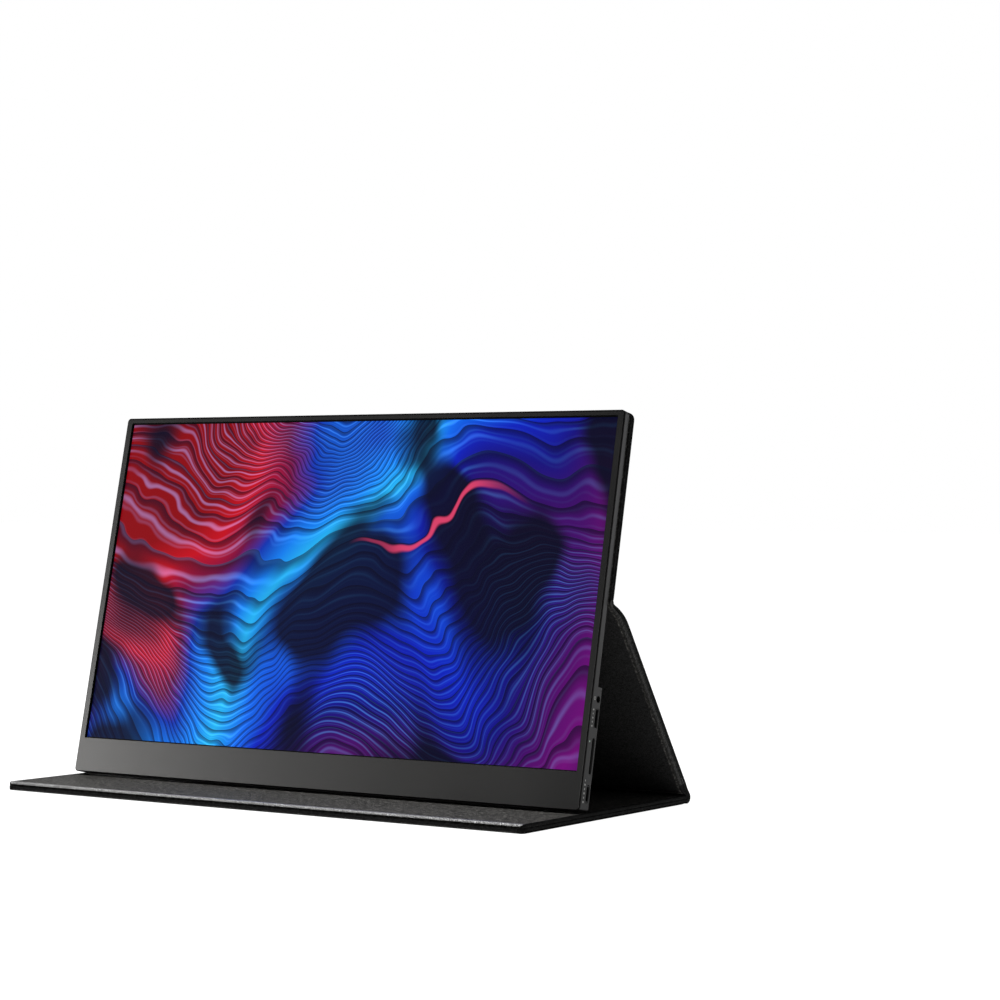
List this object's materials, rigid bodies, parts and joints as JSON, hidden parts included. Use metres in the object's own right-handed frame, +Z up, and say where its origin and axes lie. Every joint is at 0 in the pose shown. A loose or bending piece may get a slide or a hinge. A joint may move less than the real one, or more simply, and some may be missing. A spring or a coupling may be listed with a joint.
{
  "type": "portable monitor",
  "caption": "Slim portable monitor held by a folding leatherette folio that stands it up as a sloping easel, with side sockets and a rocker key.",
  "frame": {"origin": "middle of the footprint of the folded stand, on the surface that it lies on", "axes": "+Z up, +X to the viewer's right along the screen's width, +Y away from the viewer"},
  "size_m": [0.3564, 0.1802, 0.2214],
  "materials": {
    "bezel_plastic": "fine satin texture, dark grey",
    "black_foam": "closed-cell foam",
    "display_glass": "anti-glare display surface showing a flowing blue and red pattern",
    "clear_sheet": "clear acrylic",
    "white_sheet": "white film",
    "circuit_board": "solder-masked laminate",
    "plain_steel": "plated steel",
    "ribbon_film": "polyimide film",
    "grey_metal": "fine bead-blasted, dark grey",
    "black_screw": "black oxide",
    "rubber_strip": "soft matt",
    "chip_black": "moulded epoxy",
    "socket_black": "moulded",
    "light_pipe": "clear light pipe, pale green",
    "key_plastic": "satin black",
    "black_leatherette": "fine-grained black leatherette",
    "black_lining": "brushed microfibre",
    "grey_board": "pressed fibre board",
    "magnet": "nickel plated"
  },
  "bodies": {
    "base_cover": {"base_skin": "black_leatherette", "base_lining": "black_lining", "base_board": "grey_board", "base_magnets": "magnet"},
    "strut": {"strut_skin": "black_leatherette", "strut_lining": "black_lining", "strut_board": "grey_board", "strut_magnets": "magnet", "soft_bend": "black_leatherette", "rear_fold_bead": "black_lining", "crease_bead": "black_lining"},
    "monitor": {"front_bezel": "bezel_plastic", "foam_gasket": "black_foam", "lcd_cell": "display_glass", "prism_sheet": "clear_sheet", "diffuser_sheet": "white_sheet", "light_guide": "clear_sheet", "reflector_sheet": "white_sheet", "led_strip": "circuit_board", "panel_back_plate": "plain_steel", "timing_board": "circuit_board", "panel_ribbon": "ribbon_film", "rear_tray": "grey_metal", "port_housing": "grey_metal", "housing_screws": "black_screw", "foot_strip": "rubber_strip", "magnet_plates": "plain_steel", "main_board": "circuit_board", "board_screws": "plain_steel", "board_shield": "plain_steel", "scaler_chip": "chip_black", "board_chips": "chip_black", "audio_jack": "socket_black", "video_socket": "plain_steel", "usb_c_socket": "plain_steel", "socket_tongues": "socket_black", "key_pin": "plain_steel", "key_switches": "socket_black", "status_light": "light_pipe", "speaker_left": "socket_black", "speaker_right": "socket_black", "upper_skin": "black_leatherette", "upper_lining": "black_lining", "upper_board": "grey_board", "upper_magnets": "magnet"},
    "rocker": {"rocker_key": "key_plastic"}
  },
  "joints": [
    {"name": "rear_fold", "type": "hinge", "parent": "base_cover", "child": "strut", "pos_m": [0, 0.08675, 0.0034], "axis": [-1, 0, 0], "range_deg": [0, 126]},
    {"name": "back_fold", "type": "hinge", "parent": "strut", "child": "monitor", "pos_m": [0, -0.0017, 0.11587], "axis": [1, 0, 0], "range_deg": [0, 47]},
    {"name": "key_rock", "type": "hinge", "parent": "monitor", "child": "rocker", "pos_m": [0.1749, -0.02025, 0.0347], "axis": [0, 0.9778, -0.2096], "range_deg": [-2.2, 2.2], "stiffness_Nm_per_rad": 0.05}
  ],
  "couplings": [
    {"joint": "back_fold", "follows": "rear_fold", "ratio": 0.37302}
  ]
}
